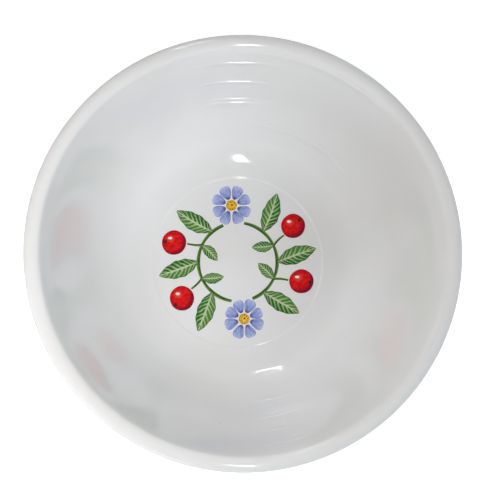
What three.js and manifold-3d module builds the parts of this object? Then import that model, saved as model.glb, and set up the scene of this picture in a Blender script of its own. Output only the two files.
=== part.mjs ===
// A round porcelain bowl with a garland printed in its well.
// Millimetres, +Z up, origin at the middle of the foot's resting face.

import * as THREE from 'three';
import { mergeVertices } from 'three/addons/utils/BufferGeometryUtils.js';
import Module from 'manifold-3d';

// The glazed bowl
const RIM_DIAMETER = 160;
const BOWL_HEIGHT = 64;
const LIP_THICKNESS = 6.4; // the wall swells on its outside to this round roll
const LIP_SWELL = 0.55; // share of the wall's length where it starts to swell
const LIP_LEAN = 66; // degrees from level, of the wall where it runs into the lip
const BASE_THICKNESS = 4.1; // clay under the well, and in the wall where it leaves the foot
const WELL_CURVE = 23.5; // how far the wall's curve reaches out along the floor
const FLANK_CURVE = 20; // how far the wall's curve reaches down from the lip
const WELL_RING_WIDTH = 1.2; // the small step round the flat of the well
const WELL_RING_RISE = 0.4;
const THROWING_START = 7.3; // along the wall from the lip to the first throwing ring
const THROWING_PITCH = 12.6; // and from there to each of the next ones
const THROWING_WIDTH = 2;
const THROWING_RISE = 0.3;

// The foot
const FOOT_DIAMETER = 80;
const FOOT_WIDTH = 4;
const FOOT_RECESS = 4.6;
const FOOT_FILLET = 1.6;
const FOOT_CHAMFER = 0.6;

// The glaze, and the bare clay left below it on the foot
const GLAZE = 0.3;
const GLAZE_LINE = 1.5;

// The printed garland
const PRINT = 0.12;
const PRINT_GAP = 0.35; // bare ring where two colours meet
const PRINT_MARGIN = 1.3; // bare floor outside the longest leaves
const GARLAND_RADIUS = 16;
const SHOOT_LEAN = 70; // degrees between a shoot and the stem that it leaves
const STEM_WIDTH = 1.3;
const STALK_WIDTH = 1;
const LEAF_LENGTH = 17;
const LEAF_WIDTH = 7;
const LEAF_SPREAD = 50; // degrees from one outer leaf to the next
const INNER_LEAF_LENGTH = 9;
const INNER_LEAF_WIDTH = 4.4;
const BERRY_RADIUS = 5;
const BERRY_STALK = 6;
const BLOSSOM_RADIUS = 8.5;
const BLOSSOM_STALK = 7.5; // from the stem's circle to the middle of the blossom
const PETALS = 8;
const PETAL_NOTCH = 4.4; // from the middle to where two petals part
const EYE_RADIUS = 2.6;

// Facets
const TURN_STEPS = 48;
const RING_STEPS = 3;
const CLAY_STEPS = 11;
const LIP_STEPS = 8;
const OUTER_STEPS = 9;
const FILLET_STEPS = 3;
const STEM_STEPS = 16;
const LEAF_STEPS = 6;
const PETAL_STEPS = 5;
const ROUND_STEPS = 10;

const CLAY_FLOOR = FOOT_RECESS + BASE_THICKNESS;
const FLOOR_HEIGHT = CLAY_FLOOR + GLAZE;
const FOOT_RADIUS = FOOT_DIAMETER / 2;
const FOOT_INNER = FOOT_RADIUS - FOOT_WIDTH;
const LIP_RADIUS = LIP_THICKNESS / 2 - GLAZE;
const lean = THREE.MathUtils.degToRad(LIP_LEAN);
const shootLean = THREE.MathUtils.degToRad(SHOOT_LEAN);
const lipCentre = new THREE.Vector2(RIM_DIAMETER / 2 - LIP_THICKNESS / 2, BOWL_HEIGHT - LIP_THICKNESS / 2);

// The flat of the well holds the garland out to the tips of its leaves, with a bare margin
const leafReach = GARLAND_RADIUS + LEAF_LENGTH * Math.sin(shootLean);
const WELL_RADIUS = Math.hypot(leafReach, LEAF_LENGTH * Math.cos(shootLean)) + PRINT_MARGIN;

const clay = new THREE.MeshStandardMaterial({ color: 0xe9e2d6, roughness: 0.7, metalness: 0 });
const glaze = new THREE.MeshStandardMaterial({ color: 0xe6e6e6, roughness: 0.12, metalness: 0 });
const green = new THREE.MeshStandardMaterial({ color: 0x2f6e28, roughness: 0.2, metalness: 0 });
const red = new THREE.MeshStandardMaterial({ color: 0xd0101c, roughness: 0.2, metalness: 0 });
const blue = new THREE.MeshStandardMaterial({ color: 0x8c9bd2, roughness: 0.2, metalness: 0 });
const yellow = new THREE.MeshStandardMaterial({ color: 0xe8b82a, roughness: 0.2, metalness: 0 });

const wasm = await Module();
wasm.setup();

// The wall's inner face, in clay, from the well's ring to the lip
const wallFoot = new THREE.Vector2(WELL_RADIUS + WELL_RING_WIDTH, CLAY_FLOOR + WELL_RING_RISE);
const wallDirection = new THREE.Vector2(Math.cos(lean), Math.sin(lean));
const acrossWall = new THREE.Vector2(-Math.sin(lean), Math.cos(lean));
const wallTop = lipCentre.clone().addScaledVector(acrossWall, LIP_RADIUS);
const wall = new THREE.CubicBezierCurve(
  wallFoot,
  wallFoot.clone().add(new THREE.Vector2(WELL_CURVE, 0)),
  wallTop.clone().addScaledVector(wallDirection, -FLANK_CURVE),
  wallTop,
);

const ringMiddle = WELL_RADIUS + WELL_RING_WIDTH / 2;
const wellRing = new THREE.CubicBezierCurve(
  new THREE.Vector2(WELL_RADIUS, CLAY_FLOOR),
  new THREE.Vector2(ringMiddle, CLAY_FLOOR),
  new THREE.Vector2(ringMiddle, wallFoot.y),
  wallFoot,
);

// A point of the wall, at a share u of its length from the well, moved off the clay towards the hollow
function innerWall(u, coat) {
  const along = wall.getTangentAt(u);
  return wall.getPointAt(u).addScaledVector(new THREE.Vector2(-along.y, along.x), coat);
}

// The same on the outside, where the clay swells towards the lip
function outerWall(u, coat) {
  const swell = THREE.MathUtils.smoothstep(u, LIP_SWELL, 1);
  const clayThickness = THREE.MathUtils.lerp(BASE_THICKNESS, 2 * LIP_RADIUS, swell);
  return innerWall(u, -clayThickness - coat);
}

// The glazed face of the wall, with each throwing ring as a low ridge between two stretches of plain wall
function glazedWall() {
  const length = wall.getLength();
  const at = (distance, rise) => innerWall(distance / length, GLAZE + rise);
  const points = [];
  let above = length;
  for (let crest = length - THROWING_START; crest > THROWING_PITCH / 2; crest -= THROWING_PITCH) {
    points.unshift(at((crest + above) / 2, 0));
    points.unshift(at(crest + THROWING_WIDTH / 2, 0));
    points.unshift(at(crest, THROWING_RISE));
    points.unshift(at(crest - THROWING_WIDTH / 2, 0));
    above = crest;
  }
  points.unshift(at(above / 2, 0));
  return points;
}

// Where the outside of the wall comes down to the foot's fillet
function findFootJoint() {
  let low = 0;
  let high = 1;
  for (let halving = 0; halving < 30; halving += 1) {
    const middle = (low + high) / 2;
    if (outerWall(middle, 0).x < FOOT_RADIUS + FOOT_FILLET) {
      low = middle;
    } else {
      high = middle;
    }
  }
  return high;
}
const footJoint = findFootJoint();

function footFillet(coat) {
  const start = outerWall(footJoint, coat);
  const along = wall.getTangentAt(footJoint);
  const side = FOOT_RADIUS + coat;
  const corner = new THREE.Vector2(side, start.y - (start.x - side) * along.y / along.x);
  return new THREE.QuadraticBezierCurve(start, corner, new THREE.Vector2(side, corner.y - FOOT_FILLET));
}

// Profile from the middle of the well, over the lip, to the glaze line on the foot
function skin(coat, wallPoints) {
  const points = [new THREE.Vector2(0, CLAY_FLOOR + coat)];
  for (const point of wellRing.getPoints(RING_STEPS)) {
    points.push(new THREE.Vector2(point.x, point.y + coat));
  }
  points.push(...wallPoints);
  const lipRadius = LIP_RADIUS + coat;
  const lip = new THREE.EllipseCurve(
    lipCentre.x, lipCentre.y, lipRadius, lipRadius, lean + Math.PI / 2, lean - Math.PI / 2, true,
  );
  points.push(...lip.getPoints(LIP_STEPS));
  for (let step = OUTER_STEPS - 1; step > 0; step -= 1) {
    points.push(outerWall(THREE.MathUtils.lerp(footJoint, 1, step / OUTER_STEPS), coat));
  }
  points.push(...footFillet(coat).getPoints(FILLET_STEPS));
  points.push(new THREE.Vector2(FOOT_RADIUS + coat, GLAZE_LINE));
  return points;
}

// Profile of the recess inside the foot, from the glaze line to the axis
function recess(coat) {
  const side = FOOT_INNER - coat;
  const ceiling = FOOT_RECESS - coat;
  const corner = new THREE.QuadraticBezierCurve(
    new THREE.Vector2(side, FOOT_RECESS - FOOT_FILLET),
    new THREE.Vector2(side, ceiling),
    new THREE.Vector2(FOOT_INNER - FOOT_FILLET, ceiling),
  );
  const edge = new THREE.Vector2(side, GLAZE_LINE);
  return [edge, ...corner.getPoints(FILLET_STEPS), new THREE.Vector2(0, ceiling)];
}

function turned(name, profile, material) {
  const geometry = new THREE.LatheGeometry(profile, TURN_STEPS);
  geometry.rotateX(Math.PI / 2);
  const mesh = new THREE.Mesh(geometry, material);
  mesh.name = name;
  return mesh;
}

const claySkin = skin(0, wall.getPoints(CLAY_STEPS).slice(1, -1));
const glazeSkin = skin(GLAZE, glazedWall());

function porcelainBody() {
  const restingFace = [
    new THREE.Vector2(FOOT_RADIUS, FOOT_CHAMFER),
    new THREE.Vector2(FOOT_RADIUS - FOOT_CHAMFER, 0),
    new THREE.Vector2(FOOT_INNER + FOOT_CHAMFER, 0),
    new THREE.Vector2(FOOT_INNER, FOOT_CHAMFER),
  ];
  return turned('porcelain_body', [...claySkin, ...restingFace, ...recess(0)].reverse(), clay);
}

function glazeCoat() {
  return turned('glaze_coat', [...glazeSkin, ...claySkin.toReversed()].reverse(), glaze);
}

function baseGlaze() {
  return turned('base_glaze', [...recess(0).reverse(), ...recess(GLAZE)].reverse(), glaze);
}

// Outline of a pointed leaf that grows from the origin along +X
function leafOutline(length, width) {
  const reach = width * 2 / 3;
  const outline = new THREE.Shape();
  outline.bezierCurveTo(length / 4, reach, length * 2 / 3, reach, length, 0);
  outline.bezierCurveTo(length * 2 / 3, -reach, length / 4, -reach, 0, 0);
  return outline;
}

function strokeOutline(length, width) {
  const outline = new THREE.Shape();
  outline.moveTo(0, -width / 2);
  outline.lineTo(length, -width / 2);
  outline.lineTo(length, width / 2);
  outline.lineTo(0, width / 2);
  return outline;
}

function stemOutline(from, to) {
  const outline = new THREE.Shape();
  outline.absarc(0, 0, GARLAND_RADIUS + STEM_WIDTH / 2, from, to, false);
  outline.absarc(0, 0, GARLAND_RADIUS - STEM_WIDTH / 2, to, from, true);
  return outline;
}

function blossomOutline() {
  const outline = new THREE.Shape();
  const step = 2 * Math.PI / PETALS;
  const bulge = step / 8;
  const reach = (4 * BLOSSOM_RADIUS - PETAL_NOTCH * Math.cos(step / 2)) / (3 * Math.cos(step / 2 - bulge));
  outline.moveTo(PETAL_NOTCH, 0);
  for (let petal = 0; petal < PETALS; petal += 1) {
    const start = petal * step;
    const end = start + step;
    outline.bezierCurveTo(
      reach * Math.cos(start + bulge), reach * Math.sin(start + bulge),
      reach * Math.cos(end - bulge), reach * Math.sin(end - bulge),
      PETAL_NOTCH * Math.cos(end), PETAL_NOTCH * Math.sin(end),
    );
  }
  outline.holes.push(new THREE.Path().absarc(0, 0, EYE_RADIUS, 0, 2 * Math.PI, true));
  return outline;
}

function roundOutline(radius) {
  return new THREE.Shape().absarc(0, 0, radius, 0, 2 * Math.PI, false);
}

function film(outline, steps) {
  return new THREE.ExtrudeGeometry(outline, { depth: PRINT, bevelEnabled: false, curveSegments: steps });
}

// Where a shoot that leaves the stem's circle at an angle has come to after a length
function shootPoint(angle, length, side) {
  const heading = angle + Math.PI / 2 - side * shootLean;
  return new THREE.Vector2(
    GARLAND_RADIUS * Math.cos(angle) + length * Math.cos(heading),
    GARLAND_RADIUS * Math.sin(angle) + length * Math.sin(heading),
  );
}

// A film laid along the shoot that leaves the stem's circle at an angle, outwards or inwards
function onShoot(geometry, angle, side) {
  const base = shootPoint(angle, 0, side);
  geometry.rotateZ(angle + Math.PI / 2 - side * shootLean);
  geometry.translate(base.x, base.y, 0);
  return geometry;
}

function solidOf(geometry) {
  geometry.deleteAttribute('normal');
  geometry.deleteAttribute('uv');
  const merged = mergeVertices(geometry);
  const vertProperties = new Float32Array(merged.attributes.position.array);
  const triVerts = new Uint32Array(merged.index.array);
  return new wasm.Manifold(new wasm.Mesh({ numProp: 3, vertProperties, triVerts }));
}

function joined(geometries) {
  const solid = geometries.map(solidOf).reduce((sum, next) => sum.add(next));
  const { vertProperties, triVerts } = solid.getMesh();
  const geometry = new THREE.BufferGeometry();
  geometry.setAttribute('position', new THREE.BufferAttribute(vertProperties, 3));
  geometry.setIndex(new THREE.BufferAttribute(triVerts, 1));
  geometry.computeVertexNormals();
  return geometry;
}

function printed(name, geometry, material) {
  const mesh = new THREE.Mesh(geometry, material);
  mesh.name = name;
  mesh.position.z = FLOOR_HEIGHT;
  return mesh;
}

const OUTWARDS = 1;
const INWARDS = -1;
const leafSpread = THREE.MathUtils.degToRad(LEAF_SPREAD);
const berryDistance = BERRY_STALK + PRINT_GAP + BERRY_RADIUS;

// The angle that a blossom, with a bare ring round it, takes out of the stem's circle on either side
const blossomCentre = shootPoint(Math.PI / 2, BLOSSOM_STALK, OUTWARDS);
const blossomAngle = blossomCentre.angle();
const blossomShare = Math.acos(
  (GARLAND_RADIUS ** 2 + blossomCentre.lengthSq() - (BLOSSOM_RADIUS + PRINT_GAP) ** 2)
  / (2 * GARLAND_RADIUS * blossomCentre.length()),
);

// One half of the garland: a stem from blossom to blossom, with its leaves and the stalks of its berries
function leafSpray(name, middle) {
  const stemStart = middle + blossomAngle - Math.PI + blossomShare;
  const stemEnd = middle + blossomAngle - blossomShare;
  const stalk = () => film(strokeOutline(BERRY_STALK, STALK_WIDTH), 1);
  const innerLeaf = () => film(leafOutline(INNER_LEAF_LENGTH, INNER_LEAF_WIDTH), LEAF_STEPS);
  const pieces = [film(stemOutline(stemStart, stemEnd), STEM_STEPS)];
  for (const place of [-1, 0, 1]) {
    const leaf = film(leafOutline(LEAF_LENGTH, LEAF_WIDTH), LEAF_STEPS);
    pieces.push(onShoot(leaf, middle + place * leafSpread, OUTWARDS));
  }
  for (const place of [-0.5, 0.5]) {
    pieces.push(onShoot(stalk(), middle + place * leafSpread, OUTWARDS));
    pieces.push(onShoot(innerLeaf(), middle + place * leafSpread, INWARDS));
  }
  return printed(name, joined(pieces), green);
}

function berry(name, angle) {
  const mesh = printed(name, film(roundOutline(BERRY_RADIUS), ROUND_STEPS), red);
  const centre = shootPoint(angle, berryDistance, OUTWARDS);
  mesh.position.x = centre.x;
  mesh.position.y = centre.y;
  return mesh;
}

function blossom(number, angle) {
  const petals = printed(`blossom_${number}`, film(blossomOutline(), PETAL_STEPS), blue);
  const eyeFilm = film(roundOutline(EYE_RADIUS - PRINT_GAP), ROUND_STEPS);
  const eye = printed(`blossom_eye_${number}`, eyeFilm, yellow);
  const centre = shootPoint(angle, BLOSSOM_STALK, OUTWARDS);
  for (const mesh of [petals, eye]) {
    mesh.position.x = centre.x;
    mesh.position.y = centre.y;
  }
  return [petals, eye];
}

const bowl = new THREE.Group();
bowl.name = 'porcelain_bowl';
bowl.add(porcelainBody(), glazeCoat(), baseGlaze());
for (const half of [0, 1]) {
  const middle = half * Math.PI;
  bowl.add(leafSpray(`leaf_spray_${half + 1}`, middle));
  bowl.add(berry(`berry_${2 * half + 1}`, middle - leafSpread / 2));
  bowl.add(berry(`berry_${2 * half + 2}`, middle + leafSpread / 2));
  bowl.add(...blossom(half + 1, middle + Math.PI / 2));
}

export default bowl;
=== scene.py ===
import math
import random

import bmesh
import bpy
from mathutils import Matrix, Vector, noise


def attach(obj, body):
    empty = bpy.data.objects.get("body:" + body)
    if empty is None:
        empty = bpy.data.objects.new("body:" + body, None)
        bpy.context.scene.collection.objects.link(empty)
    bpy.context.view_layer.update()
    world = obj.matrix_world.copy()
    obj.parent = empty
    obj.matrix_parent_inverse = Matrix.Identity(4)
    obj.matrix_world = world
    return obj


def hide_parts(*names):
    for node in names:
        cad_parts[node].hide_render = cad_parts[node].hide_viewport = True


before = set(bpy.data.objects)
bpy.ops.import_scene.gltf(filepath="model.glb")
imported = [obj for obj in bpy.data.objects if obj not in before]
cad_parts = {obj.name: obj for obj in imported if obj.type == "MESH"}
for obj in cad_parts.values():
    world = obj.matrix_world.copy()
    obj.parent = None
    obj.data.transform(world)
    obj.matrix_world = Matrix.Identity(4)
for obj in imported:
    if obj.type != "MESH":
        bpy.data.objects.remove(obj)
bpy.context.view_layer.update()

MM = 0.001

# The bowl, in millimetres, as the solids have it, apart from the bend of the well's ring and the ridges
RIM_DIAMETER = 160
BOWL_HEIGHT = 64
LIP_THICKNESS = 6.4
LIP_SWELL = 0.55
LIP_LEAN = math.radians(66)
BASE_THICKNESS = 4.1
WELL_CURVE = 23.5
FLANK_CURVE = 20
WELL_RADIUS = 33.8
WELL_RING_WIDTH = 1.2
WELL_RING_RISE = 0.4
WELL_RING_BEND = 0.37  # share of the ring's width over which its step bends at each edge
THROWING_START = 7.3
THROWING_PITCH = 12.6
THROWING_WIDTH = 0.3  # from a ridge's crest to where it has come down to a third of its rise
THROWING_BROAD = 0.5  # the same for the ridges that run on furthest
THROWING_RISE = 0.47
THROWING_SLOPE = 4  # how much slower a ridge comes down towards the well than towards the lip
TWIN_GAP = 2.5
FOOT_RADIUS = 40
FOOT_WIDTH = 4
FOOT_RECESS = 4.6
FOOT_FILLET = 1.6
FOOT_CHAMFER = 0.6
GLAZE = 0.3
GLAZE_LINE = 1.5

# The garland, in millimetres
GARLAND_RADIUS = 16
SHOOT_LEAN = math.radians(70)
STEM_WIDTH = 1.3
STALK_WIDTH = 1.0
LEAF_LENGTH = 17
LEAF_WIDTH = 7
LEAF_SPREAD = math.radians(50)
INNER_LEAF_LENGTH = 9
INNER_LEAF_WIDTH = 4.4
BERRY_RADIUS = 5
BERRY_STALK = 6
BERRY_GAP = 0.35
BLOSSOM_RADIUS = 8.5
BLOSSOM_STALK = 7.5
PETALS = 8
EYE_RADIUS = 2.25
EYE_DOTS = 9
PETAL_WIDTH = 3.2
CROWN_RADIUS = 0.95

CLAY_FLOOR = FOOT_RECESS + BASE_THICKNESS
FLOOR_HEIGHT = CLAY_FLOOR + GLAZE
FOOT_INNER = FOOT_RADIUS - FOOT_WIDTH
LIP_RADIUS = LIP_THICKNESS / 2 - GLAZE
TURN_STEPS = 192
FLOOR_RINGS = 8
RING_STEPS = 12
FILLET_STEPS = 10
RECESS_STEPS = 8
RECESS_RINGS = 6
EDGE_STEPS = 6
CHAMFER_STEPS = 6
CLAY_WALL_STEPS = 40
WALL_STOP = 1.0
RIDGE_STOP = 0.1
RIDGE_REACH = 2.5  # widths of a ridge over which the stops lie close together
SMOOTH_ANGLE = math.radians(50)
SAME_SPOT = 1e-7
HEIGHT_DIGITS = 7  # decimals of a metre to which a point's height is matched with a stop's
ON_WALL = 1e-6
OUTWARDS = 1
INWARDS = -1

lip_centre = Vector((RIM_DIAMETER / 2 - LIP_THICKNESS / 2, BOWL_HEIGHT - LIP_THICKNESS / 2))
wall_foot = Vector((WELL_RADIUS + WELL_RING_WIDTH, CLAY_FLOOR + WELL_RING_RISE))
wall_top = lip_centre + LIP_RADIUS * Vector((-math.sin(LIP_LEAN), math.cos(LIP_LEAN)))
wall_knots = (
    wall_foot,
    wall_foot + Vector((WELL_CURVE, 0)),
    wall_top - FLANK_CURVE * Vector((math.cos(LIP_LEAN), math.sin(LIP_LEAN))),
    wall_top,
)


def lerp(first, second, share):
    return first + (second - first) * share


def on_cubic(knots, t):
    a, b, c, d = knots
    s = 1 - t
    return a * s**3 + b * 3 * s * s * t + c * 3 * s * t * t + d * t**3


def along_cubic(knots, t):
    a, b, c, d = knots
    s = 1 - t
    return ((b - a) * s * s + (c - b) * 2 * s * t + (d - c) * t * t).normalized()


def on_quadratic(knots, t):
    a, b, c = knots
    s = 1 - t
    return a * s * s + b * 2 * s * t + c * t * t


# Length of the wall from the well to each of many steps of its curve
WALL_SAMPLES = 600
wall_reach = [0.0]
for sample in range(WALL_SAMPLES):
    here = on_cubic(wall_knots, sample / WALL_SAMPLES)
    after = on_cubic(wall_knots, (sample + 1) / WALL_SAMPLES)
    wall_reach.append(wall_reach[-1] + (after - here).length)
WALL_LENGTH = wall_reach[-1]


def wall_share(distance):
    """The curve's own parameter at a distance along the wall from the well."""
    low, high = 0, WALL_SAMPLES
    while high - low > 1:
        middle = (low + high) // 2
        if wall_reach[middle] <= distance:
            low = middle
        else:
            high = middle
    rest = (distance - wall_reach[low]) / (wall_reach[high] - wall_reach[low])
    return (low + rest) / WALL_SAMPLES


def inner_wall(distance, coat):
    t = wall_share(distance)
    along = along_cubic(wall_knots, t)
    return on_cubic(wall_knots, t) + coat * Vector((-along.y, along.x))


def outer_wall(distance, coat):
    share = max(0.0, (distance / WALL_LENGTH - LIP_SWELL) / (1 - LIP_SWELL))
    swell = share * share * (3 - 2 * share)
    clay = lerp(BASE_THICKNESS, 2 * LIP_RADIUS, swell)
    return inner_wall(distance, -clay - coat)


# The throwing ridges: how far below the lip each one lies, its width, the turn where the potter's finger
# pressed it most, how fast it fades from there, its share of the full rise there, and on the other side
NORTH = math.radians(91)
NORTH_EAST = math.radians(62)
SOUTH_EAST = math.radians(-77)
SHORT_FADE = 110
LONG_FADE = 12
OTHER_FADE = 300
FAINT = 0.03  # share of the full rise that a ridge keeps all the way round
DRIFT = 0.3  # how far a ridge's rise wanders round the bowl
DRIFT_REACH = 1.3
DRIFT_STEP = 4.7
third_ring = THROWING_START + 2 * THROWING_PITCH
fourth_ring = third_ring + THROWING_PITCH
throwing_ridges = (
    (1.2, THROWING_BROAD, NORTH_EAST, LONG_FADE, 0.65, 0.0),
    (THROWING_START, THROWING_WIDTH, NORTH, SHORT_FADE, 1.0, 0.55),
    (THROWING_START + THROWING_PITCH, THROWING_WIDTH, NORTH, SHORT_FADE, 1.0, 0.55),
    (third_ring - TWIN_GAP / 2, THROWING_WIDTH, NORTH, SHORT_FADE, 0.8, 0.5),
    (third_ring + TWIN_GAP / 2, THROWING_BROAD, NORTH, SHORT_FADE, 1.0, 0.0),
    (fourth_ring - TWIN_GAP / 2, THROWING_WIDTH, NORTH_EAST, LONG_FADE, 0.35, 0.45),
    (fourth_ring + TWIN_GAP / 2, THROWING_WIDTH, NORTH_EAST, LONG_FADE, 0.4, 0.0),
    (fourth_ring + THROWING_PITCH, THROWING_WIDTH, SOUTH_EAST, OTHER_FADE, 0.2, 0.0),
)


def throwing_rise(distance, turn):
    """How far the throwing ridges stand up: well on one or two stretches of the round, hardly elsewhere."""
    rise = 0.0
    for ring, (depth, width, side, fade, most, other) in enumerate(throwing_ridges):
        above = distance - (WALL_LENGTH - depth)
        spread = width if above > 0 else THROWING_SLOPE * width
        shape = math.exp(-((above / spread) ** 2))
        spot = (DRIFT_REACH * math.cos(turn), DRIFT_REACH * math.sin(turn), DRIFT_STEP * ring)
        drift = noise.noise(Vector(spot))
        pressed = most * max(0.0, math.cos(turn - side)) ** fade
        opposite = other * max(0.0, math.cos(turn - SOUTH_EAST)) ** OTHER_FADE
        share = (FAINT + max(pressed, opposite)) * (1 + DRIFT * drift)
        rise += THROWING_RISE * share * shape
    return rise


def foot_joint():
    """Distance along the wall where its outside comes down to the foot's fillet."""
    low, high = 0.0, WALL_LENGTH
    for halving in range(40):
        middle = (low + high) / 2
        if outer_wall(middle, 0).x < FOOT_RADIUS + FOOT_FILLET:
            low = middle
        else:
            high = middle
    return high


FOOT_JOINT = foot_joint()


def foot_fillet(coat, steps):
    start = outer_wall(FOOT_JOINT, coat)
    along = along_cubic(wall_knots, wall_share(FOOT_JOINT))
    side = FOOT_RADIUS + coat
    corner = Vector((side, start.y - (start.x - side) * along.y / along.x))
    knots = (start, corner, Vector((side, corner.y - FOOT_FILLET)))
    return [on_quadratic(knots, step / steps) for step in range(steps + 1)]


def wall_stops(step, near_ring):
    """Distances along the wall, close together over the ridges and wider apart between them."""
    stops = []
    distance = step
    while distance < WALL_LENGTH - step / 2:
        stops.append(distance)
        depth = WALL_LENGTH - distance - near_ring
        nearest = min(abs(depth - ridge[0]) / ridge[1] for ridge in throwing_ridges)
        distance += near_ring if nearest < RIDGE_REACH else step
    return stops


def skin(coat, stops, lip_steps, outer_steps):
    """Profile from the axis over the well, the wall and the lip down to the foot's fillet."""
    points = [
        Vector((WELL_RADIUS * ring / FLOOR_RINGS, CLAY_FLOOR + coat)) for ring in range(FLOOR_RINGS)
    ]
    bend = WELL_RING_BEND * WELL_RING_WIDTH
    knots = (
        Vector((WELL_RADIUS, CLAY_FLOOR)),
        Vector((WELL_RADIUS + bend, CLAY_FLOOR)),
        Vector((wall_foot.x - bend, wall_foot.y)),
        wall_foot,
    )
    points += [
        on_cubic(knots, step / RING_STEPS) + Vector((0, coat)) for step in range(RING_STEPS + 1)
    ]
    points += [inner_wall(distance, coat) for distance in stops]
    for step in range(lip_steps + 1):
        turn = LIP_LEAN + math.pi / 2 - math.pi * step / lip_steps
        points.append(lip_centre + (LIP_RADIUS + coat) * Vector((math.cos(turn), math.sin(turn))))
    for step in range(1, outer_steps):
        points.append(outer_wall(lerp(WALL_LENGTH, FOOT_JOINT, step / outer_steps), coat))
    return points + foot_fillet(coat, FILLET_STEPS)


def recess(coat):
    """Profile of the recess inside the foot: its rounded upper corner, then its flat to the axis."""
    side = FOOT_INNER - coat
    ceiling = FOOT_RECESS - coat
    knots = (
        Vector((side, FOOT_RECESS - FOOT_FILLET)),
        Vector((side, ceiling)),
        Vector((FOOT_INNER - FOOT_FILLET, ceiling)),
    )
    points = [on_quadratic(knots, step / RECESS_STEPS) for step in range(RECESS_STEPS + 1)]
    flat = FOOT_INNER - FOOT_FILLET
    for ring in range(1, RECESS_RINGS + 1):
        points.append(Vector((flat * (1 - ring / RECESS_RINGS), ceiling)))
    return points


def half_round(first, second, steps):
    """Points between two, bulging to the right of the way from the first to the second."""
    middle = (first + second) / 2
    arm = first - middle
    turned = []
    for step in range(1, steps):
        turn = math.pi * step / steps
        turned.append(middle + Vector((
            arm.x * math.cos(turn) - arm.y * math.sin(turn),
            arm.x * math.sin(turn) + arm.y * math.cos(turn),
        )))
    return turned


def finished(name, bm, materials, node, smooth):
    """Turns a mesh's faces outwards and makes it an object on the bowl that stands for its solid."""
    bmesh.ops.recalc_face_normals(bm, faces=bm.faces)
    for face in bm.faces:
        face.smooth = smooth
    mesh = bpy.data.meshes.new(name)
    bm.to_mesh(mesh)
    bm.free()
    if smooth:
        mesh.set_sharp_from_angle(angle=SMOOTH_ANGLE)
    for material in materials:
        mesh.materials.append(material)
    piece = bpy.data.objects.new(name, mesh)
    bpy.context.scene.collection.objects.link(piece)
    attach(piece, "root")
    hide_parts(node)
    return piece


def raise_rings(bm, stops):
    """Lifts the throwing ridges out of the glaze on the inner wall, whose points lie at these stops."""
    at_height = {}
    for distance in stops:
        foot = inner_wall(distance, GLAZE)
        inwards = inner_wall(distance, GLAZE + 1) - foot
        at_height[round(foot.y * MM, HEIGHT_DIGITS)] = (distance, inwards, foot.x * MM)
    for vert in bm.verts:
        found = at_height.get(round(vert.co.z, HEIGHT_DIGITS))
        if found is None or abs(vert.co.xy.length - found[2]) > ON_WALL:
            continue
        distance, inwards, radius = found
        turn = math.atan2(vert.co.y, vert.co.x)
        rise = throwing_rise(distance, turn) * MM
        vert.co += rise * Vector((inwards.x * math.cos(turn), inwards.x * math.sin(turn), inwards.y))


def turned_piece(name, profile, material, node, ring_stops=()):
    bm = bmesh.new()
    verts = [bm.verts.new((point.x * MM, 0, point.y * MM)) for point in profile]
    edges = [bm.edges.new(pair) for pair in zip(verts, verts[1:])]
    bmesh.ops.spin(
        bm, geom=verts + edges, cent=(0, 0, 0), axis=(0, 0, 1),
        angle=2 * math.pi, steps=TURN_STEPS, use_merge=True,
    )
    bmesh.ops.remove_doubles(bm, verts=bm.verts, dist=SAME_SPOT)
    raise_rings(bm, ring_stops)
    return finished(name, bm, [material], node, True)


# Materials


def put(tree, kind, values=(), **settings):
    """Adds a shader node, with settings, and values or links for its inputs."""
    made = tree.nodes.new("ShaderNode" + kind)
    for name, value in settings.items():
        setattr(made, name, value)
    for name, value in dict(values).items():
        if isinstance(value, bpy.types.NodeSocket):
            tree.links.new(value, made.inputs[name])
        else:
            made.inputs[name].default_value = value
    return made


def calc(tree, operation, first, second=0.0, clamp=False):
    return put(tree, "Math", {0: first, 1: second}, operation=operation, use_clamp=clamp).outputs[0]


def blend_colours(tree, share, first, second):
    made = put(tree, "Mix", {0: share, 6: first, 7: second}, data_type="RGBA")
    return made.outputs[2]


def tinted(tree, base, mask, strength, tint):
    """Lays a tint over a colour where a mask is 1, at part of its full strength."""
    return blend_colours(tree, calc(tree, "MULTIPLY", mask, strength), base, tint)


def ramp(tree, value, low, high):
    """0 below low, 1 above high, and a smooth rise between; the other way round where low is above high."""
    if low < high:
        ends = {"Value": value, 1: low, 2: high, 3: 0.0, 4: 1.0}
    else:
        ends = {"Value": value, 1: high, 2: low, 3: 1.0, 4: 0.0}
    return put(tree, "MapRange", ends, interpolation_type="SMOOTHSTEP").outputs[0]


def colour(red, green, blue):
    """A colour as it looks on screen, each part from 0 to 255."""
    def linear(part):
        part /= 255
        return part / 12.92 if part <= 0.04045 else ((part + 0.055) / 1.055) ** 2.4
    return (linear(red), linear(green), linear(blue), 1.0)


def new_group(name, inputs, outputs):
    tree = bpy.data.node_groups.new(name, "ShaderNodeTree")
    for label, kind, value in inputs:
        made = tree.interface.new_socket(label, in_out="INPUT", socket_type="NodeSocket" + kind)
        if value is not None:
            made.default_value = value
    for label, kind in outputs:
        tree.interface.new_socket(label, in_out="OUTPUT", socket_type="NodeSocket" + kind)
    given = tree.nodes.new("NodeGroupInput")
    result = tree.nodes.new("NodeGroupOutput")
    return tree, given.outputs, result.inputs


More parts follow.
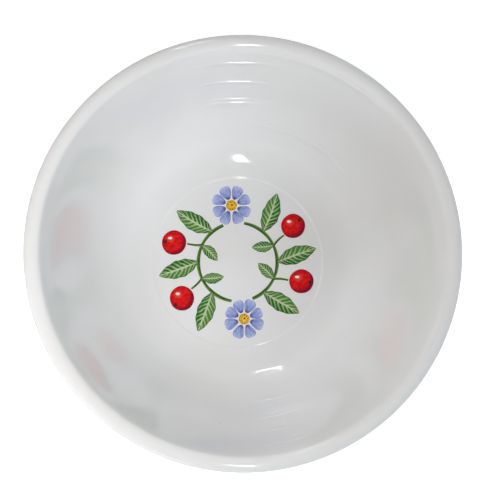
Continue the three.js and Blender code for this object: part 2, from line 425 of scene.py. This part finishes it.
def glaze_surface_group():
    """Slow ripples and fine orange peel of a fired glaze, drifting tone, and a few specks."""
    tree, given, result = new_group(
        "glaze_surface",
        [("Place", "Vector", None), ("Specks", "Float", 0.5)],
        [("Height", "Float"), ("Tone", "Float"), ("Speck", "Float")],
    )
    slow = put(tree, "TexNoise", {"Vector": given["Place"], "Scale": 55.0, "Detail": 2.0})
    fine = put(tree, "TexNoise", {"Vector": given["Place"], "Scale": 420.0, "Detail": 1.0})
    height = calc(tree, "ADD", slow.outputs[0], calc(tree, "MULTIPLY", fine.outputs[0], 0.12))
    tree.links.new(height, result["Height"])
    drift = put(tree, "TexNoise", {"Vector": given["Place"], "Scale": 22.0, "Detail": 3.0})
    tree.links.new(ramp(tree, drift.outputs[0], 0.3, 0.7), result["Tone"])
    cells = put(tree, "TexVoronoi", {"Vector": given["Place"], "Scale": 130.0})
    picked = put(tree, "SeparateColor", {"Color": cells.outputs["Color"]})
    rare = calc(tree, "GREATER_THAN", picked.outputs[0], 0.965)
    size = calc(tree, "MULTIPLY", picked.outputs[1], 0.035)
    near = calc(tree, "LESS_THAN", cells.outputs["Distance"], calc(tree, "ADD", size, 0.012))
    speck = calc(tree, "MULTIPLY", calc(tree, "MULTIPLY", rare, near), given["Specks"])
    tree.links.new(speck, result["Speck"])
    return tree


def brush_group():
    """Streaks of a loaded brush: 0 where the colour is thin, 1 where it lies thick."""
    tree, given, result = new_group(
        "brush_streaks",
        [("Place", "Vector", None), ("Scale", "Float", 8.0), ("Low", "Float", 0.4), ("High", "Float", 0.6)],
        [("Streak", "Float")],
    )
    bristles = put(tree, "TexNoise", {
        "Vector": given["Place"], "Scale": given["Scale"], "Detail": 3.0, "Roughness": 0.6,
    })
    made = put(tree, "MapRange", {"Value": bristles.outputs[0], 1: given["Low"], 2: given["High"]})
    made.interpolation_type = "SMOOTHSTEP"
    tree.links.new(made.outputs[0], result["Streak"])
    return tree


glaze_surface = glaze_surface_group()
brush_streaks = brush_group()


def new_material(name, roughness):
    material = bpy.data.materials.new(name)
    material.use_nodes = True
    tree = material.node_tree
    shader = tree.nodes["Principled BSDF"]
    shader.inputs["Roughness"].default_value = roughness
    return material, tree, shader


def use_group(tree, group, values):
    made = tree.nodes.new("ShaderNodeGroup")
    made.node_tree = group
    for name, value in values.items():
        if isinstance(value, bpy.types.NodeSocket):
            tree.links.new(value, made.inputs[name])
        else:
            made.inputs[name].default_value = value
    return made.outputs


def object_place(tree):
    return put(tree, "TexCoord").outputs["Object"]


def glazed_over(tree, shader, specks):
    """Gives a shader the glaze's ripples, and returns its surface for the colour to use."""
    surface = use_group(tree, glaze_surface, {"Place": object_place(tree), "Specks": specks})
    bump = put(tree, "Bump", {"Strength": 0.25, "Distance": 0.0002, "Height": surface["Height"]})
    tree.links.new(bump.outputs[0], shader.inputs["Normal"])
    return surface


def glaze_material():
    material, tree, shader = new_material("white_glaze", 0.07)
    surface = glazed_over(tree, shader, 0.5)
    white = blend_colours(tree, surface["Tone"], colour(229, 229, 228), colour(231, 232, 233))
    parts = put(tree, "SeparateXYZ", {0: object_place(tree)})
    # The glaze draws thin over the lip and lets the clay's warmth through
    thin = ramp(tree, parts.outputs[2], (BOWL_HEIGHT - 2.5) * MM, (BOWL_HEIGHT + 0.2) * MM)
    white = tinted(tree, white, thin, 0.15, colour(226, 222, 216))
    white = blend_colours(tree, surface["Speck"], white, colour(150, 135, 115))
    tree.links.new(white, shader.inputs["Base Color"])
    return material


def clay_material():
    material, tree, shader = new_material("bare_porcelain", 0.72)
    place = object_place(tree)
    grain = put(tree, "TexNoise", {"Vector": place, "Scale": 2600.0, "Detail": 3.0})
    drift = put(tree, "TexNoise", {"Vector": place, "Scale": 60.0, "Detail": 4.0})
    coarse = ramp(tree, grain.outputs[0], 0.35, 0.65)
    body = blend_colours(tree, coarse, colour(222, 212, 196), colour(236, 230, 219))
    body = tinted(tree, body, ramp(tree, drift.outputs[0], 0.4, 0.7), 0.5, colour(214, 196, 172))
    # Grey scuffs where the foot has been pushed about on tables
    height = put(tree, "SeparateXYZ", {0: place}).outputs[2]
    scuffs = put(tree, "TexNoise", {"Vector": place, "Scale": 340.0, "Detail": 4.0, "Roughness": 0.7})
    low_down = ramp(tree, height, 0.6 * MM, 0.1 * MM)
    worn = calc(tree, "MULTIPLY", ramp(tree, scuffs.outputs[0], 0.52, 0.62), low_down)
    body = tinted(tree, body, worn, 0.6, colour(150, 145, 138))
    tree.links.new(body, shader.inputs["Base Color"])
    bump = put(tree, "Bump", {"Strength": 0.5, "Distance": 0.00006, "Height": grain.outputs[0]})
    tree.links.new(bump.outputs[0], shader.inputs["Normal"])
    return material


def print_place(tree):
    """Along and across a print: 0 to 1 from its base to its tip, and from side to side."""
    parts = put(tree, "SeparateXYZ", {0: put(tree, "UVMap", uv_map="print").outputs[0]})
    return parts.outputs[0], parts.outputs[1]


def stretched(tree, along, across, along_scale, across_scale):
    """A place for streaks that run along a print, different on each one."""
    offset = put(tree, "SeparateXYZ", {0: object_place(tree)})
    lengthwise = calc(tree, "MULTIPLY", along, along_scale)
    crosswise = calc(tree, "MULTIPLY", across, across_scale)
    apart = calc(tree, "MULTIPLY", calc(tree, "ADD", offset.outputs[0], offset.outputs[1]), 9.0)
    return put(tree, "CombineXYZ", {0: lengthwise, 1: crosswise, 2: apart}).outputs[0]


PRINT_ROUGHNESS = 0.08


def leaf_material():
    material, tree, shader = new_material("leaf_green", PRINT_ROUGHNESS)
    glazed_over(tree, shader, 0.0)
    along, across = print_place(tree)
    from_rib = calc(tree, "MULTIPLY", calc(tree, "ABSOLUTE", calc(tree, "SUBTRACT", across, 0.5)), 2.0)
    wobble = put(tree, "TexNoise", {"Vector": object_place(tree), "Scale": 330.0, "Detail": 2.0}).outputs[0]
    # Side veins leave the midrib forwards, and the dark colour is brushed between them
    lag = calc(tree, "MULTIPLY", from_rib, 1.7)
    turns = calc(tree, "SUBTRACT", calc(tree, "MULTIPLY", along, 8.5), lag)
    turns = calc(tree, "ADD", turns, calc(tree, "MULTIPLY", wobble, 0.9))
    fold = calc(tree, "PINGPONG", turns, 0.5)
    width = calc(tree, "SUBTRACT", 0.2, calc(tree, "MULTIPLY", from_rib, 0.1))
    soft = ramp(tree, calc(tree, "SUBTRACT", fold, width), 0.1, -0.06)
    streak = use_group(tree, brush_streaks, {
        "Place": stretched(tree, along, from_rib, 9.0, 3.0), "Scale": 1.6, "Low": 0.38, "High": 0.62,
    })["Streak"]
    body = blend_colours(tree, streak, colour(34, 92, 34), colour(62, 124, 48))
    lit_side = ramp(tree, across, 0.44, 0.62)
    body = tinted(tree, body, lit_side, 0.45, colour(104, 150, 72))
    body = tinted(tree, body, ramp(tree, along, 0.35, 0.0), 0.5, colour(40, 72, 28))
    fading = calc(tree, "SUBTRACT", 0.9, calc(tree, "MULTIPLY", from_rib, 0.35))
    body = tinted(tree, body, soft, fading, colour(178, 198, 150))
    rib = ramp(tree, from_rib, 0.16, 0.06)
    body = tinted(tree, body, rib, 0.85, colour(196, 210, 168))
    edge = ramp(tree, from_rib, 0.84, 0.97)
    body = tinted(tree, body, edge, 0.7, colour(30, 78, 32))
    tree.links.new(body, shader.inputs["Base Color"])
    return material


def stem_material():
    material, tree, shader = new_material("stem_green", PRINT_ROUGHNESS)
    glazed_over(tree, shader, 0.0)
    along, across = print_place(tree)
    streak = use_group(tree, brush_streaks, {
        "Place": stretched(tree, along, across, 14.0, 2.0), "Scale": 1.2, "Low": 0.4, "High": 0.6,
    })["Streak"]
    body = blend_colours(tree, streak, colour(46, 84, 30), colour(72, 112, 42))
    body = tinted(tree, body, ramp(tree, across, 0.5, 0.85), 0.6, colour(134, 166, 84))
    tree.links.new(body, shader.inputs["Base Color"])
    return material


def from_point(tree, along, across, centre, squeeze):
    """Distance from a point of a print, with the across way squeezed."""
    lengthwise = calc(tree, "SUBTRACT", along, centre[0])
    crosswise = calc(tree, "MULTIPLY", calc(tree, "SUBTRACT", across, centre[1]), squeeze)
    lengthwise = calc(tree, "MULTIPLY", lengthwise, lengthwise)
    crosswise = calc(tree, "MULTIPLY", crosswise, crosswise)
    return calc(tree, "SQRT", calc(tree, "ADD", lengthwise, crosswise))


def berry_material():
    material, tree, shader = new_material("berry_red", PRINT_ROUGHNESS)
    glazed_over(tree, shader, 0.0)
    along, across = print_place(tree)
    wobble = put(tree, "TexNoise", {"Vector": object_place(tree), "Scale": 420.0, "Detail": 2.0}).outputs[0]
    shift = calc(tree, "MULTIPLY", calc(tree, "SUBTRACT", wobble, 0.5), 0.16)
    streak = use_group(tree, brush_streaks, {
        "Place": stretched(tree, along, across, 3.0, 5.0), "Scale": 2.0, "Low": 0.4, "High": 0.62,
    })["Streak"]
    body = blend_colours(tree, streak, colour(198, 10, 24), colour(222, 30, 30))
    rim = from_point(tree, along, across, (0.5, 0.5), 1.0)
    rim = calc(tree, "ADD", rim, calc(tree, "MULTIPLY", shift, 0.3))
    body = tinted(tree, body, ramp(tree, rim, 0.44, 0.48), 0.7, colour(126, 8, 26))
    shade = calc(tree, "ADD", from_point(tree, along, across, (0.38, 0.6), 1.0), shift)
    body = tinted(tree, body, ramp(tree, shade, 0.42, 0.54), 0.75, colour(112, 12, 36))
    glow = calc(tree, "ADD", from_point(tree, along, across, (0.36, 0.64), 1.25), shift)
    body = tinted(tree, body, ramp(tree, glow, 0.24, 0.08), 0.5, colour(238, 92, 66))
    dab = from_point(tree, along, across, (0.33, 0.68), 1.7)
    dab = calc(tree, "ADD", dab, calc(tree, "MULTIPLY", shift, 0.4))
    body = blend_colours(tree, ramp(tree, dab, 0.1, 0.07), body, colour(250, 232, 224))
    tree.links.new(body, shader.inputs["Base Color"])
    return material


def crown_material():
    material, tree, shader = new_material("berry_crown", PRINT_ROUGHNESS)
    glazed_over(tree, shader, 0.0)
    along, across = print_place(tree)
    streak = use_group(tree, brush_streaks, {
        "Place": stretched(tree, along, across, 4.0, 4.0), "Scale": 2.0, "Low": 0.35, "High": 0.65,
    })["Streak"]
    body = blend_colours(tree, streak, colour(62, 22, 24), colour(92, 40, 28))
    tree.links.new(body, shader.inputs["Base Color"])
    return material


def petal_material():
    material, tree, shader = new_material("petal_blue", PRINT_ROUGHNESS)
    glazed_over(tree, shader, 0.0)
    along, across = print_place(tree)
    from_middle = calc(tree, "MULTIPLY", calc(tree, "ABSOLUTE", calc(tree, "SUBTRACT", across, 0.5)), 2.0)
    wash = use_group(tree, brush_streaks, {
        "Place": stretched(tree, along, across, 1.6, 4.0), "Scale": 1.5, "Low": 0.35, "High": 0.65,
    })["Streak"]
    body = blend_colours(tree, wash, colour(134, 150, 210), colour(170, 182, 226))
    body = tinted(tree, body, ramp(tree, along, 0.55, 1.0), 0.6, colour(196, 205, 236))
    line = use_group(tree, brush_streaks, {
        "Place": stretched(tree, along, across, 0.9, 9.0), "Scale": 1.3, "Low": 0.5, "High": 0.6,
    })["Streak"]
    inward = calc(tree, "SUBTRACT", 0.95, calc(tree, "MULTIPLY", along, 0.9))
    body = tinted(tree, body, line, inward, colour(62, 72, 152))
    throat = ramp(tree, along, 0.3, 0.05)
    body = tinted(tree, body, throat, 0.8, colour(52, 58, 132))
    edge = ramp(tree, from_middle, 0.8, 0.96)
    body = tinted(tree, body, edge, 0.55, colour(84, 98, 172))
    tree.links.new(body, shader.inputs["Base Color"])
    return material


def eye_material():
    material, tree, shader = new_material("eye_yellow", PRINT_ROUGHNESS)
    glazed_over(tree, shader, 0.0)
    along, across = print_place(tree)
    streak = use_group(tree, brush_streaks, {
        "Place": stretched(tree, along, across, 5.0, 5.0), "Scale": 1.5, "Low": 0.35, "High": 0.65,
    })["Streak"]
    body = blend_colours(tree, streak, colour(228, 178, 36), colour(246, 208, 74))
    rim = from_point(tree, along, across, (0.5, 0.5), 1.0)
    body = tinted(tree, body, ramp(tree, rim, 0.3, 0.5), 0.7, colour(196, 120, 24))
    tree.links.new(body, shader.inputs["Base Color"])
    return material


def dot_material():
    material, tree, shader = new_material("eye_dots", PRINT_ROUGHNESS)
    glazed_over(tree, shader, 0.0)
    along, across = print_place(tree)
    rim = from_point(tree, along, across, (0.5, 0.5), 1.0)
    body = blend_colours(tree, ramp(tree, rim, 0.2, 0.5), colour(150, 72, 20), colour(108, 44, 18))
    tree.links.new(body, shader.inputs["Base Color"])
    return material


# The bowl itself


def bowl_pieces():
    glaze = glaze_material()
    clay = clay_material()
    clay_stops = [WALL_LENGTH * step / CLAY_WALL_STEPS for step in range(1, CLAY_WALL_STEPS)]
    clay_skin = skin(0, clay_stops, lip_steps=12, outer_steps=24)
    ring_stops = wall_stops(WALL_STOP, RIDGE_STOP)
    glaze_skin = skin(GLAZE, ring_stops, lip_steps=24, outer_steps=40)
    line = Vector((FOOT_RADIUS, GLAZE_LINE))
    side = Vector((FOOT_RADIUS + GLAZE, GLAZE_LINE))
    glaze_edge = half_round(side, line, EDGE_STEPS)
    turned_piece(
        "bowl_glaze", [*glaze_skin, side, *glaze_edge, line, *reversed(clay_skin)],
        glaze, "glaze_coat", ring_stops,
    )
    resting_face = []
    for centre, start in (
        (Vector((FOOT_RADIUS - FOOT_CHAMFER, FOOT_CHAMFER)), 0.0),
        (Vector((FOOT_INNER + FOOT_CHAMFER, FOOT_CHAMFER)), -math.pi / 2),
    ):
        for step in range(CHAMFER_STEPS + 1):
            turn = start - math.pi / 2 * step / CHAMFER_STEPS
            resting_face.append(centre + FOOT_CHAMFER * Vector((math.cos(turn), math.sin(turn))))
    inner_line = Vector((FOOT_INNER, GLAZE_LINE))
    turned_piece(
        "bowl_clay", [*clay_skin, line, *resting_face, inner_line, *recess(0)],
        clay, "porcelain_body",
    )
    inner_side = Vector((FOOT_INNER - GLAZE, GLAZE_LINE))
    inner_edge = half_round(inner_line, inner_side, EDGE_STEPS)
    turned_piece(
        "recess_glaze",
        [*reversed(recess(0)), inner_line, *inner_edge, inner_side, *recess(GLAZE)],
        glaze, "base_glaze",
    )


# The garland: thin films of colour on the floor of the well


def lay_film(bm, faces, top, material):
    """Closes a flat film: its faces are lifted to the top and walled down to the floor."""
    for face in faces:
        face.material_index = material
    lifted = bmesh.ops.extrude_face_region(bm, geom=faces)["geom"]
    verts = [item for item in lifted if isinstance(item, bmesh.types.BMVert)]
    bmesh.ops.translate(bm, verts=verts, vec=(0, 0, top * MM))


def grid_film(bm, uv, rows, columns, place, top, material=0):
    """A film laid out in millimetres by place(along, across), along from 0 to 1, across from -1 to 1."""
    verts = bmesh.ops.create_grid(bm, x_segments=rows, y_segments=columns, size=1)["verts"]
    faces = list({face for vert in verts for face in vert.link_faces})
    for face in faces:
        for loop in face.loops:
            loop[uv].uv = ((loop.vert.co.x + 1) / 2, (loop.vert.co.y + 1) / 2)
    for vert in verts:
        spot = place((vert.co.x + 1) / 2, vert.co.y)
        vert.co = Vector((spot.x, spot.y, FLOOR_HEIGHT)) * MM
    lay_film(bm, faces, top, material)


def round_film(bm, uv, centre, radius, segments, outline, top, material=0):
    """A disc whose outline(turn) scales its radius, with its map square on it."""
    verts = bmesh.ops.create_circle(bm, cap_ends=True, segments=segments, radius=1)["verts"]
    faces = list({face for vert in verts for face in vert.link_faces})
    for face in faces:
        for loop in face.loops:
            loop[uv].uv = ((loop.vert.co.x + 1) / 2, (loop.vert.co.y + 1) / 2)
    for vert in verts:
        reach = radius * outline(math.atan2(vert.co.y, vert.co.x))
        vert.co = Vector((centre.x + vert.co.x * reach, centre.y + vert.co.y * reach, FLOOR_HEIGHT)) * MM
    lay_film(bm, faces, top, material)


def circle_point(angle, radius):
    return radius * Vector((math.cos(angle), math.sin(angle)))


def shoot_heading(angle, side):
    return angle + math.pi / 2 - side * SHOOT_LEAN


def shoot_point(angle, length, side):
    return circle_point(angle, GARLAND_RADIUS) + circle_point(shoot_heading(angle, side), length)


def leaf_place(angle, side, length, width, bend, chance):
    """Lays a pointed leaf, with a slightly bent midrib and an uneven edge, along a shoot."""
    base = shoot_point(angle, 0, side)
    heading = shoot_heading(angle, side)
    forwards = circle_point(heading, 1)
    sideways = circle_point(heading + math.pi / 2, 1)
    phase = chance.uniform(0, 6)
    reach = width * 2 / 3

    def place(along, across):
        t = lerp(0.025, 0.985, along)
        s = 1 - t
        distance = length * (0.75 * s * s * t + 2 * s * t * t + t**3)
        half = 3 * s * t * reach
        uneven = 1 + 0.045 * math.sin(along * 25 + phase + 1.5 * (1 if across > 0 else -1))
        rib = bend * math.sin(math.pi * along)
        return base + forwards * distance + sideways * (rib + across * half * uneven)

    return place


BLOSSOM_CENTRE = shoot_point(math.pi / 2, BLOSSOM_STALK, OUTWARDS)
BLOSSOM_TURN = math.atan2(BLOSSOM_CENTRE.y, BLOSSOM_CENTRE.x)
BLOSSOM_SHARE = math.acos(
    (GARLAND_RADIUS**2 + BLOSSOM_CENTRE.length_squared - (BLOSSOM_RADIUS + BERRY_GAP) ** 2)
    / (2 * GARLAND_RADIUS * BLOSSOM_CENTRE.length)
)

# How high the films stand on the floor of the well, in millimetres, higher where one lies on another
STEM_TOP = 0.05
STALK_TOP = 0.06
LEAF_TOP = 0.07
BERRY_TOP = 0.08
CROWN_TOP = 0.1
PETAL_TOP = 0.05
PETAL_OVERLAP = 0.025
EYE_TOP = 0.085
DOT_TOP = 0.105


def spray(number, middle, materials):
    chance = random.Random(number)
    bm = bmesh.new()
    uv = bm.loops.layers.uv.new("print")
    start = middle + BLOSSOM_TURN - math.pi + BLOSSOM_SHARE
    end = middle + BLOSSOM_TURN - BLOSSOM_SHARE

    def stem(along, across):
        width = STEM_WIDTH * (1 + 0.12 * math.sin(along * 17))
        return circle_point(lerp(start, end, along), GARLAND_RADIUS + across * width / 2)

    grid_film(bm, uv, 72, 4, stem, STEM_TOP, 1)
    for place in (-0.5, 0.5):
        angle = middle + place * LEAF_SPREAD
        base = shoot_point(angle, 0, OUTWARDS)
        heading = shoot_heading(angle, OUTWARDS)

        def stalk(along, across):
            width = lerp(STALK_WIDTH, 0.75 * STALK_WIDTH, along)
            curve = 0.25 * math.sin(math.pi * along)
            spot = base + circle_point(heading, BERRY_STALK * along)
            return spot + circle_point(heading + math.pi / 2, curve + across * width / 2)

        grid_film(bm, uv, 12, 2, stalk, STALK_TOP, 1)
        bend = chance.uniform(-0.35, 0.35)
        inner = leaf_place(angle, INWARDS, INNER_LEAF_LENGTH, INNER_LEAF_WIDTH, bend, chance)
        grid_film(bm, uv, 24, 8, inner, LEAF_TOP, 0)
    for place in (-1, 0, 1):
        bend = chance.uniform(-0.6, 0.6)
        angle = middle + place * LEAF_SPREAD
        outer = leaf_place(angle, OUTWARDS, LEAF_LENGTH, LEAF_WIDTH, bend, chance)
        grid_film(bm, uv, 40, 10, outer, LEAF_TOP, 0)
    finished(f"painted_spray_{number}", bm, materials, f"leaf_spray_{number}", False)


def berry(number, angle, materials):
    chance = random.Random(20 + number)
    bm = bmesh.new()
    uv = bm.loops.layers.uv.new("print")
    heading = shoot_heading(angle, OUTWARDS)
    distance = BERRY_STALK + BERRY_GAP + BERRY_RADIUS
    centre = shoot_point(angle, distance, OUTWARDS)
    phase = chance.uniform(0, 6)
    round_film(
        bm, uv, centre, BERRY_RADIUS, 56,
        lambda turn: 0.985 + 0.012 * math.sin(2 * turn + phase) + 0.006 * math.sin(5 * turn), BERRY_TOP,
    )
    crown = shoot_point(angle, distance + 0.72 * BERRY_RADIUS, OUTWARDS)
    round_film(
        bm, uv, crown, CROWN_RADIUS, 40,
        lambda turn: 0.62 + 0.38 * abs(math.cos(2.5 * (turn - heading))) ** 2, CROWN_TOP, 1,
    )
    finished(f"painted_berry_{number}", bm, materials, f"berry_{number}", False)


def blossom(number, angle, petal_finish, eye_finishes):
    chance = random.Random(40 + number)
    centre = shoot_point(angle, BLOSSOM_STALK, OUTWARDS)
    bm = bmesh.new()
    uv = bm.loops.layers.uv.new("print")
    for petal in range(PETALS):
        heading = (petal + 0.5) * 2 * math.pi / PETALS + chance.uniform(-0.05, 0.05)
        length = BLOSSOM_RADIUS * chance.uniform(0.93, 1.0)
        width = PETAL_WIDTH * chance.uniform(0.94, 1.04)
        sway = chance.uniform(-0.2, 0.2)

        def place(along, across):
            t = lerp(0.03, 0.985, along)
            half = width * t**0.6 * math.sqrt(1 - t**4)
            notch = 0.35 * max(0.0, 1 - abs(across) / 0.3) * max(0.0, (t - 0.85) / 0.15)
            distance = lerp(EYE_RADIUS + 0.2, length, t) - notch
            rib = sway * math.sin(math.pi * t)
            spot = centre + circle_point(heading, distance)
            return spot + circle_point(heading + math.pi / 2, rib + across * half)

        grid_film(bm, uv, 20, 8, place, PETAL_TOP + PETAL_OVERLAP * (petal % 2), 0)
    finished(f"painted_blossom_{number}", bm, [petal_finish], f"blossom_{number}", False)
    bm = bmesh.new()
    uv = bm.loops.layers.uv.new("print")
    round_film(bm, uv, centre, EYE_RADIUS, 40, lambda turn: 0.97 + 0.03 * math.sin(6 * turn), EYE_TOP)
    for dot in range(EYE_DOTS):
        reach = 1.45 + chance.uniform(-0.15, 0.15)
        turn = dot * 2 * math.pi / EYE_DOTS + chance.uniform(-0.12, 0.12)
        size = chance.uniform(0.2, 0.3)
        round_film(bm, uv, centre + circle_point(turn, reach), size, 12, lambda turn: 1.0, DOT_TOP, 1)
    round_film(bm, uv, centre + circle_point(1.0, 0.25), 0.42, 14, lambda turn: 1.0, DOT_TOP, 1)
    finished(f"painted_eye_{number}", bm, eye_finishes, f"blossom_eye_{number}", False)


def garland_pieces():
    greens = [leaf_material(), stem_material()]
    reds = [berry_material(), crown_material()]
    blue = petal_material()
    yellows = [eye_material(), dot_material()]
    for half in (0, 1):
        middle = half * math.pi
        spray(half + 1, middle, greens)
        berry(2 * half + 1, middle - LEAF_SPREAD / 2, reds)
        berry(2 * half + 2, middle + LEAF_SPREAD / 2, reds)
        blossom(half + 1, middle + math.pi / 2, blue, yellows)


bowl_pieces()
garland_pieces()


# The studio, in metres

FLOOR_REACH = 4
FLOOR_GAP = 0.0001
FLOOR_NEAR = 0.15
FLOOR_FAR = 1.2
NEAR_WHITE = 0.6  # how far the floor near the bowl is lifted to white, so that a shadow still shows
HIGH_HORIZON = 0.45  # the heights, of 1 overhead, between which the mirrored sky darkens
HIGH_CEILING = 0.85
WORLD_LEVEL = 0.03
CEILING_LEVEL = 0.12


def studio_floor():
    """A pale floor that is white to the camera and in reflections, with a faint shadow by the bowl."""
    bm = bmesh.new()
    bmesh.ops.create_grid(bm, x_segments=1, y_segments=1, size=FLOOR_REACH)
    bmesh.ops.translate(bm, verts=bm.verts, vec=(0, 0, -FLOOR_GAP))
    mesh = bpy.data.meshes.new("studio_floor")
    bm.to_mesh(mesh)
    bm.free()
    material = bpy.data.materials.new("studio_paper")
    material.use_nodes = True
    tree = material.node_tree
    tree.nodes.clear()
    paper = put(tree, "BsdfDiffuse", {"Color": (0.85, 0.85, 0.85, 1)})
    path = put(tree, "LightPath")
    mirrored = calc(tree, "MAXIMUM", path.outputs["Is Glossy Ray"], path.outputs["Is Transmission Ray"])
    seen = calc(tree, "MAXIMUM", path.outputs["Is Camera Ray"], mirrored)
    place = put(tree, "TexCoord").outputs["Object"]
    far = put(tree, "VectorMath", {0: place}, operation="LENGTH").outputs["Value"]
    white = put(tree, "MapRange", {
        "Value": far, 1: FLOOR_NEAR, 2: FLOOR_FAR, 3: NEAR_WHITE, 4: 1.0,
    }).outputs[0]
    lift = put(tree, "Emission", {"Color": (1, 1, 1, 1), "Strength": calc(tree, "MULTIPLY", seen, white)})
    both = put(tree, "AddShader", {0: paper.outputs[0], 1: lift.outputs[0]})
    # Seen from below, the floor is clear, and the lamp under it shines through
    below = put(tree, "NewGeometry").outputs["Backfacing"]
    clear = calc(tree, "MAXIMUM", below, path.outputs["Is Shadow Ray"])
    nothing = put(tree, "BsdfTransparent", {"Color": (1, 1, 1, 1)})
    surface = put(tree, "MixShader", {0: clear, 1: both.outputs[0], 2: nothing.outputs[0]})
    put(tree, "OutputMaterial", {"Surface": surface.outputs[0]})
    mesh.materials.append(material)
    floor = bpy.data.objects.new("studio_floor", mesh)
    bpy.context.scene.collection.objects.link(floor)


def studio_world():
    """White to the camera and in reflections near the horizon, and darker in reflections from overhead."""
    world = bpy.data.worlds.new("studio")
    bpy.context.scene.world = world
    world.use_nodes = True
    tree = world.node_tree
    tree.nodes.clear()
    path = put(tree, "LightPath")
    height = put(tree, "SeparateXYZ", {0: put(tree, "TexCoord").outputs["Generated"]}).outputs[2]
    mirrored = put(tree, "MapRange", {
        "Value": height, 1: HIGH_HORIZON, 2: HIGH_CEILING, 3: 1.0, 4: CEILING_LEVEL,
    }).outputs[0]
    through = calc(tree, "MAXIMUM", path.outputs["Is Glossy Ray"], path.outputs["Is Transmission Ray"])
    level = put(tree, "Mix", {0: through, 2: WORLD_LEVEL, 3: mirrored}).outputs[0]
    level = put(tree, "Mix", {0: path.outputs["Is Camera Ray"], 2: level, 3: 1.0}).outputs[0]
    sky = put(tree, "Background", {"Color": (1, 1, 1, 1), "Strength": level})
    put(tree, "OutputWorld", {"Surface": sky.outputs[0]})


def lamp(name, turn, lift, distance, width, height, level, tint, mirrored):
    """A soft lamp seen from the bowl at a turn from the picture's foot and a lift above level, in degrees.
    Its level is how bright it makes a white face that looks at it."""
    data = bpy.data.lights.new(name, "AREA")
    data.shape = "RECTANGLE"
    data.size = width
    data.size_y = height
    data.energy = level * math.pi**2 * distance**2
    data.color = tint
    a, e = math.radians(turn), math.radians(lift)
    back = Vector((math.sin(a) * math.cos(e), -math.cos(a) * math.cos(e), math.sin(e)))
    item = bpy.data.objects.new(name, data)
    item.location = Vector((0, 0, BOWL_HEIGHT * MM / 2)) + distance * back
    item.rotation_euler = back.to_track_quat("Z", "Y").to_euler()
    item.visible_camera = False
    item.visible_glossy = mirrored
    bpy.context.scene.collection.objects.link(item)


# The camera looks down on the bowl from a little off its axis
SENSOR_WIDTH = 36
LENS = 90.28
CAMERA_TILT = 6.022
CAMERA_TURN = -30.41
CAMERA_DISTANCE = 0.45524
CAMERA_TARGET = Vector((-0.000112, 0.00007, 0.0619))


def camera():
    data = bpy.data.cameras.new("photo_camera")
    data.sensor_width = SENSOR_WIDTH
    data.lens = LENS
    tilt = math.radians(CAMERA_TILT)
    turn = math.radians(CAMERA_TURN)
    back = Vector((math.sin(turn) * math.sin(tilt), -math.cos(turn) * math.sin(tilt), math.cos(tilt)))
    right = Vector((0, 1, 0)).cross(back).normalized()
    up = back.cross(right)
    place = CAMERA_TARGET + CAMERA_DISTANCE * back
    item = bpy.data.objects.new("photo_camera", data)
    item.matrix_world = Matrix((
        (right.x, up.x, back.x, place.x),
        (right.y, up.y, back.y, place.y),
        (right.z, up.z, back.z, place.z),
        (0, 0, 0, 1),
    ))
    bpy.context.scene.collection.objects.link(item)
    bpy.context.scene.camera = item


studio_floor()
studio_world()
WARM = (1.03, 1.0, 0.98)
WHITE = (1.0, 1.0, 1.0)
COOL = (0.95, 1.0, 1.05)
lamp(
    "window", turn=292, lift=59, distance=0.275, width=0.16, height=0.16,
    level=0.53, tint=WARM, mirrored=False,
)
lamp(
    "card", turn=312, lift=4, distance=0.4, width=0.56, height=0.08,
    level=0.3, tint=COOL, mirrored=True,
)
lamp(
    "back", turn=182, lift=28, distance=1.0, width=0.6, height=0.5,
    level=0.18, tint=WHITE, mirrored=False,
)
lamp(
    "side", turn=62, lift=37, distance=1.0, width=0.9, height=0.5,
    level=0.43, tint=COOL, mirrored=False,
)
lamp(
    "strip", turn=191, lift=34, distance=0.7, width=0.11, height=0.045,
    level=0.08, tint=WHITE, mirrored=True,
)
lamp(
    "key", turn=5.6, lift=63, distance=0.7, width=0.037, height=0.19,
    level=0.11, tint=WHITE, mirrored=True,
)
lamp(
    "under", turn=0, lift=-80, distance=0.8, width=1.0, height=1.0,
    level=0.25, tint=WHITE, mirrored=False,
)
camera()
bpy.context.scene.view_settings.view_transform = "Standard"
